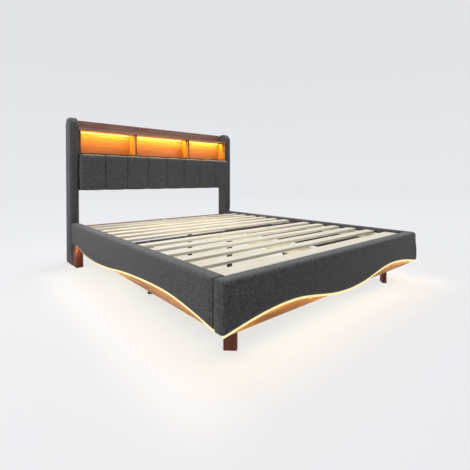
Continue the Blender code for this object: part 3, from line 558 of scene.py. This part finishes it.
def make_footboard():
    low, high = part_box("footboard")

    def room(points, out):
        """Front, ends and top may stand proud, most low down at the ends; rear and lower edge may not."""
        aside = np.abs(points[:, 0])
        facing = np.maximum(smooth_step(-out[:, 1], *FACING), smooth_step(out[:, 2], *FACING))
        facing = np.maximum(facing, smooth_step(np.abs(out[:, 0]), *FACING) * (aside > CORNER_X[1]))
        lower = smooth_step(high[2] - points[:, 2], *CORNER_DROP)
        corner = smooth_step(aside, *CORNER_X)
        rear = smooth_step(out[:, 1], *TURNED_IN)
        under = smooth_step(-out[:, 2], *LEANING)
        return (RAIL_PROUD + CORNER_FULLNESS * lower * corner) * facing * (1 - rear) * (1 - under)

    def held(points, out):
        """The recess and the rear face are glued down."""
        return (out[:, 1] > HALF) | ((out[:, 2] < -MOSTLY) & (points[:, 1] > low[1] + FOOT_RECESS)) | (
            (np.abs(out[:, 0]) > MOSTLY) & (np.abs(points[:, 0]) < FOOT_RECESS_X))

    def soft(points):
        """The upper front edge is well rounded."""
        upper = smooth_step(points[:, 2], high[2] - FOOT_SOFT_DROP[0], high[2] - FOOT_SOFT_DROP[1])
        return upper * smooth_step(high[1] - points[:, 1], *FOOT_SOFT_REAR)

    piece = pad("footboard", "footboard_cover", RAIL_VOXEL, room, held, soft, rounds=60)
    # The folded corner of the cloth shows as a slanting line across the top at each end
    points = points_of(piece)
    from_end = high[0] - np.abs(points[:, 0])
    slant = (from_end - (points[:, 1] - low[1])) * math.sqrt(0.5)
    press(piece, slant, points[:, 2] > high[2] - FOLD_DROP, FOLD_DEPTH, SEAM_SPREAD)


WING_VOXEL = 6 * MM
ABOVE_RAIL = (0.36, 0.40)      # heights between which the wing comes clear of the rail
BEHIND_RAIL = (5 * MM, 60 * MM)        # the same, measured back from the wing's front
WING_FRONT = 70 * MM      # the front's rounded face lies nearer to the front than this
WING_FOOT = 12 * MM       # the padding thins out over this height above the floor
WING_TOP = (0.2, 0.9)     # how much the normal points up on the wing's rounded top
WING_TOP_LOSS = 0.9       # the share of its room that the top loses


def make_wings():
    for side, sign in SIDES:
        low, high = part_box(f"headboard_{side}_wing")

        def room(points, out):
            """All but the inner face, the foot and the part behind the rail's end may stand proud."""
            above = smooth_step(points[:, 2], *ABOVE_RAIL)
            beside = smooth_step(points[:, 1], low[1] + BEHIND_RAIL[0], low[1] + BEHIND_RAIL[1])
            clear = np.maximum(above, beside)
            front = smooth_step(-out[:, 1], *TURNED_IN) * (points[:, 1] < low[1] + WING_FRONT)
            inner = smooth_step(-out[:, 0] * sign, *LEANING)
            top = smooth_step(out[:, 2], *WING_TOP)
            foot = smooth_step(points[:, 2], 0.0, WING_FOOT)
            proud = RAIL_PROUD + (WING_PROUD - RAIL_PROUD) * clear
            return proud * foot * (1 - inner) * (1 - WING_TOP_LOSS * top) * (1 - front * (1 - above))

        def held(points, out):
            """The face between the wings and the foot are glued down."""
            return (out[:, 0] * sign < -MOSTLY) | (out[:, 2] < -MOSTLY)

        pad(f"headboard_{side}_wing", f"headboard_{side}_wing_cover", WING_VOXEL, room, held)


CUSHION_VOXEL = 7 * MM
CHANNELS = 8
CHANNEL_RISE = 30 * MM    # a channel is full this far from its seams
SEAM_SEWN = 5 * MM        # the cover is sewn down this near to a seam
SEAM_DEPTH = 8 * MM
SEAM_HALF_WIDTH = 3.7 * MM
SEAM_REACH = 45 * MM      # how far behind the front the seams are still drawn in
SEAM_FADE = 15 * MM       # they run out over this length
FROM_TOP = (4 * MM, 16 * MM)           # below the top: where a seam starts and is full
FROM_BELOW = (2 * MM, 12 * MM)         # above the lower edge: the same


def make_cushion():
    low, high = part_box("headboard_cushion")
    width = (high[0] - low[0]) / CHANNELS
    seams = [low[0] + i * width for i in range(1, CHANNELS)]

    def from_seam(points):
        return np.min([np.abs(points[:, 0] - x) for x in seams], axis=0)

    def room(points, out):
        """The front may stand proud between the seams; top, ends and rear may not."""
        front = smooth_step(-out[:, 1], *TURNED_IN)
        return CHANNEL_PROUD * front * smooth_step(from_seam(points), 0, CHANNEL_RISE)

    def held(points, out):
        """The rear and the seams are sewn down."""
        seam = (from_seam(points) < SEAM_SEWN) & (out[:, 1] < -PARTLY)
        return seam | (out[:, 1] > MOSTLY)

    piece = pad("headboard_cushion", "headboard_cushion_cover", CUSHION_VOXEL, room, held)
    # Each seam is drawn in straight back, and runs out just before the top and the lower edge
    points = points_of(piece)
    front = smooth_step(low[1] + SEAM_REACH - points[:, 1], 0, SEAM_FADE)
    ends = smooth_step(high[2] - points[:, 2], *FROM_TOP) * smooth_step(points[:, 2] - low[2], *FROM_BELOW)
    front *= ends
    points[:, 1] += SEAM_DEPTH * front * np.exp(-(from_seam(points) / SEAM_HALF_WIDTH) ** 2)
    set_points(piece, points)


# Floor and backdrop

FLOOR_RADIUS = 60
FLOOR_TONE = "#d1d2d4"
# Painted shade under the bed, on the floor's seen tone: darker, and warmed by a painted glow of the strips
UNDER_BED_PAINTED_SHADE = "#cac2b2"
UNDER_BED_SHADE_REACH = (("X", 0.45, 0.8), ("Y", 0.65, 1.05))      # axis, where its tone is full and where it has gone
FAR_FLOOR = (1.8, 3.6)    # distances at which the plain far tones start and are full
FAR_TONES_REACH = (2.5, 22.5)          # distances from the first of the far tones to the last
FAR_TONES = ((0.0, "#edeef2"), (0.15, "#ebecf0"), (0.5, "#e8e9ed"), (1.0, "#e7e8ec"))
BACKDROP = ((0.0, "#e8e9ed"), (0.35, "#e2e3e7"))
SKY_STRENGTH = 0.48


def pale_floor():
    """Matt painted floor; seen directly it has a pale tone of its own, and far away only plain tones."""
    made, tree, shader = new_material("matt_painted_floor")
    place = add_node(tree, "TexCoord", {}).outputs["Object"]
    shader.inputs["Base Color"].default_value = linear("#7f7f80")
    shader.inputs["Roughness"].default_value = 1.0
    shader.inputs["Specular IOR Level"].default_value = 0.0
    path = add_node(tree, "LightPath", {})
    seen = add_node(tree, "Math", {0: path.outputs["Is Camera Ray"], 1: path.outputs["Is Glossy Ray"]},
                    operation="MAXIMUM")
    # Painted shade under the bed: the seen tone is darker there, and warmer with the strips' glow painted in
    parts = add_node(tree, "SeparateXYZ", {0: place})
    within = []
    for axis, full, none in UNDER_BED_SHADE_REACH:
        reach = add_node(tree, "Math", {0: parts.outputs[axis]}, operation="ABSOLUTE")
        within.append(add_node(tree, "MapRange", {"Value": reach.outputs[0], "From Min": full,
                                                  "From Max": none, "To Min": 1.0, "To Max": 0.0},
                               interpolation_type="SMOOTHSTEP"))
    under = add_node(tree, "Math", {0: within[0].outputs[0], 1: within[1].outputs[0]}, operation="MULTIPLY")
    tone = add_node(tree, "MixRGB", {"Fac": under.outputs[0], "Color1": linear(FLOOR_TONE),
                                     "Color2": linear(UNDER_BED_PAINTED_SHADE)})
    tree.links.new(tone.outputs[0], shader.inputs["Emission Color"])
    tree.links.new(seen.outputs[0], shader.inputs["Emission Strength"])
    distance = add_node(tree, "VectorMath", {0: place}, operation="LENGTH")
    far = add_node(tree, "MapRange", {"Value": distance.outputs["Value"],
                                      "From Min": FAR_FLOOR[0], "From Max": FAR_FLOOR[1]},
                   interpolation_type="SMOOTHSTEP")
    reach = add_node(tree, "MapRange", {"Value": distance.outputs["Value"],
                                        "From Min": FAR_TONES_REACH[0], "From Max": FAR_TONES_REACH[1]})
    tones = add_node(tree, "ValToRGB", {"Fac": reach.outputs[0]}, stops=FAR_TONES)
    plain = add_node(tree, "Emission", {"Color": tones.outputs[0]})
    mix = add_node(tree, "MixShader", {0: far.outputs[0], 1: shader.outputs[0], 2: plain.outputs[0]})
    tree.links.new(mix.outputs[0], tree.nodes["Material Output"].inputs["Surface"])
    return made


def make_floor():
    deselect_all()
    bpy.ops.mesh.primitive_circle_add(vertices=96, radius=FLOOR_RADIUS, fill_type="NGON",
                                      location=(0, 0, 0))
    floor = bpy.context.object
    floor.name = "floor"
    floor.data.materials.append(pale_floor())


def make_backdrop():
    """A studio that looks pale grey, a little darker higher up, and lights the bed less than it seems to."""
    world = bpy.data.worlds.new("studio")
    scene.world = world
    world.use_nodes = True
    tree = world.node_tree
    direction = add_node(tree, "TexCoord", {}).outputs["Generated"]
    height = add_node(tree, "SeparateXYZ", {0: direction})
    backdrop = add_node(tree, "ValToRGB", {"Fac": height.outputs["Z"]}, stops=BACKDROP)
    seen = add_node(tree, "Background", {"Color": backdrop.outputs[0], "Strength": 1.0})
    soft = add_node(tree, "Background", {"Color": linear("#f4f6fa"), "Strength": SKY_STRENGTH})
    path = add_node(tree, "LightPath", {})
    either = add_node(tree, "Math", {0: path.outputs["Is Camera Ray"],
                                     1: path.outputs["Is Transmission Ray"]}, operation="MAXIMUM")
    mix = add_node(tree, "MixShader", {0: either.outputs[0], 1: soft.outputs[0], 2: seen.outputs[0]})
    tree.links.new(mix.outputs[0], tree.nodes["World Output"].inputs["Surface"])


# Lamps

STUDIO_WHITE = "#fffdfa"
STRIP_YELLOW = "#ffee50"
HALO_COLOUR = "#ffd9ac"
# Name, place, what it is turned to, width and length, watts, colour
STUDIO_LAMPS = (
    ("overhead", (0.2, 1.5, 4.2), (0.2, 0.3, 0), (3.0, 3.0), 164, STUDIO_WHITE),
    ("left_softbox", (-3.6, -0.3, 0.7), (0, -0.3, 0.3), (2.2, 1.0), 32, STUDIO_WHITE),
    ("front_fill", (2.4, -3.6, 0.9), (0.3, -1.1, 0.2), (1.4, 1.2), 15, "#fff6ee"),
)
# Strip, the axis it runs along, spacing of its lamps, watts per metre
STRIPS = (
    ("left_rail_light", 1, 0.2, 0.40),
    ("right_rail_light", 1, 0.2, 0.40),
    ("footboard_light", 0, 0.15, 0.42),
)
STRIP_LAMP_WIDTH = 8 * MM
STRIP_GAP = 4 * MM        # how far below the strip its lamps hang, and how far they stop short of its ends
BOARDWARD, DOWNWARD = 1.2, 0.7      # a strip's lamps are turned this much inwards for this much down
# The strips' glow on the floor, close around the bed: name, x, y, width and length, watts
HALOS = (
    ("left", -0.92, -0.225, (0.25, 2.15), 1.87),
    ("right", 0.9, -0.225, (0.2, 2.15), 1.7),
    ("foot", 0, -1.195, (2.0, 0.23), 2.2),
)
HALO_HEIGHT = 0.12
# Light thrown back up by the floor, and by the bays on the cushion's top: as the studio's, then the spread of
# the beam in degrees
GLOWS = (
    ("floor_bounce", (0, -0.05, 0.14), (0, -0.05, 0.3), (0.9, 1.7), 7, "#fff4e4", 180),
    ("cushion_top_glow", (0, 0.952, 0.968), (0, 0.945, 0.93), (1.5, 10 * MM), 1.2, "#ffc890", 100),
)
# The strips' light on the head legs; places are those at the right leg
LEG_GLOW_PLACE = (0.846, 0.856, 0.184)
LEG_GLOW_AIM = (0.8245, 0.885, 0.13)
LEG_GLOW_SIZE = (12 * MM, 20 * MM)
LEG_GLOW_WATTS = 0.12
LEG_GLOW_SPREAD = 70
BAY_YELLOW = "#ffd234"
BAY_LAMP_WIDTH = 10 * MM
BAY_LAMP_FORWARD = 55 * MM     # how far before the rear of a bay's light its lamp hangs
BAY_LAMP_REACH = 0.04     # it is turned this far back
BAY_LAMP_DROP = 0.1       # for this far down
BAY_WATTS, BAY_LENGTH = 1.5, 0.45   # so many watts for a light of this length


def lamp(name, place, towards, size, watts, colour, spread=180):
    """A soft rectangular lamp that the camera doesn't see; spread is its beam's angle in degrees."""
    data = bpy.data.lights.new(name, "AREA")
    data.shape = "RECTANGLE"
    data.size, data.size_y = size
    data.energy = watts
    data.color = linear(colour)[:3]
    data.spread = math.radians(spread)
    made = bpy.data.objects.new(name, data)
    scene.collection.objects.link(made)
    made.location = place
    aim = [b - a for a, b in zip(place, towards)]
    made.rotation_euler = Vector(aim).to_track_quat("-Z", "Y").to_euler()
    made.visible_camera = False
    return made


def lamps_under(strip, along, spacing, watts_per_metre):
    """A row of narrow lamps just under a strip, each laid along the wave and turned to the board behind."""
    points = points_of(frame["nodes"][strip])
    across = 1 - along
    middle = points[:, across].mean()
    start, end = points[:, along].min() + STRIP_GAP, points[:, along].max() - STRIP_GAP
    count = int(round((end - start) / spacing))
    marks = np.linspace(start, end, count + 1)
    stations = np.unique(points[:, along].round(4))
    lowest = [points[np.abs(points[:, along] - s) < 0.1 * MM, 2].min() for s in stations]
    heights = np.interp(marks, stations, lowest) - STRIP_GAP
    for n in range(count):
        ends = np.zeros((2, 3))
        ends[:, along] = marks[n:n + 2]
        ends[:, across] = middle
        ends[:, 2] = heights[n:n + 2]
        run = Vector(ends[1] - ends[0])
        inward = Vector((0, 0, -DOWNWARD))
        inward[across] = -math.copysign(BOARDWARD, middle)
        outward = -(inward - inward.project(run)).normalized()
        run.normalize()
        size = (float(np.linalg.norm(ends[1] - ends[0])), STRIP_LAMP_WIDTH)
        made = lamp(f"{strip}_{n:02d}", ends.mean(axis=0), (0, 0, 0), size, watts_per_metre * spacing,
                    STRIP_YELLOW)
        made.rotation_euler = Matrix((run, outward.cross(run), outward)).transposed().to_euler()


def make_lamps():
    for strip, along, spacing, watts_per_metre in STRIPS:
        lamps_under(strip, along, spacing, watts_per_metre)
    for name, place, towards, size, watts, colour in STUDIO_LAMPS:
        lamp(name, place, towards, size, watts, colour)
    for name, x, y, size, watts in HALOS:
        lamp(f"{name}_floor_halo", (x, y, HALO_HEIGHT), (x, y, 0), size, watts, HALO_COLOUR)
    for name, place, towards, size, watts, colour, spread in GLOWS:
        lamp(name, place, towards, size, watts, colour, spread)
    for side, sign in SIDES:
        place = (LEG_GLOW_PLACE[0] * sign, *LEG_GLOW_PLACE[1:])
        towards = (LEG_GLOW_AIM[0] * sign, *LEG_GLOW_AIM[1:])
        lamp(f"{side}_leg_glow", place, towards, LEG_GLOW_SIZE, LEG_GLOW_WATTS, "#ffbe68", LEG_GLOW_SPREAD)
    for bay in ("left", "middle", "right"):
        low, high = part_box(f"bay_{bay}_light")
        middle = (low[0] + high[0]) / 2
        back = high[1] - BAY_LAMP_FORWARD
        length = high[0] - low[0]
        lamp(f"{bay}_bay_glow", (middle, back, low[2]),
             (middle, back + BAY_LAMP_REACH, low[2] - BAY_LAMP_DROP), (length, BAY_LAMP_WIDTH),
             BAY_WATTS * length / BAY_LENGTH, BAY_YELLOW)


# Camera: where the photograph was taken from, as fitted to the bed's edges

PHOTO_SIDE = 470          # pixels; the three below are pixels too
FOCAL_LENGTH = 326.543
CENTRE_COLUMN = 257.908
CENTRE_ROW = 184.082
SENSOR = 36               # mm
CAMERA_PLACE = (-1.5215, -2.0721, 0.7194)
CAMERA_YAW = 42.458       # degrees to the right of +Y
CAMERA_PITCH = 0.747      # degrees below level


def make_camera():
    data = bpy.data.cameras.new("camera")
    data.sensor_width = SENSOR
    data.lens = FOCAL_LENGTH / PHOTO_SIDE * SENSOR
    data.shift_x = -(CENTRE_COLUMN - PHOTO_SIDE / 2) / PHOTO_SIDE
    data.shift_y = -(PHOTO_SIDE / 2 - CENTRE_ROW) / PHOTO_SIDE
    data.clip_start = 0.05
    camera = bpy.data.objects.new("camera", data)
    scene.collection.objects.link(camera)
    camera.location = CAMERA_PLACE
    camera.rotation_euler = (math.radians(90 - CAMERA_PITCH), 0, math.radians(-CAMERA_YAW))
    scene.camera = camera


finish_carried_nodes()
make_side_rails()
make_footboard()
make_wings()
make_cushion()
make_floor()
make_backdrop()
make_lamps()
make_camera()
scene.view_settings.view_transform = "Standard"
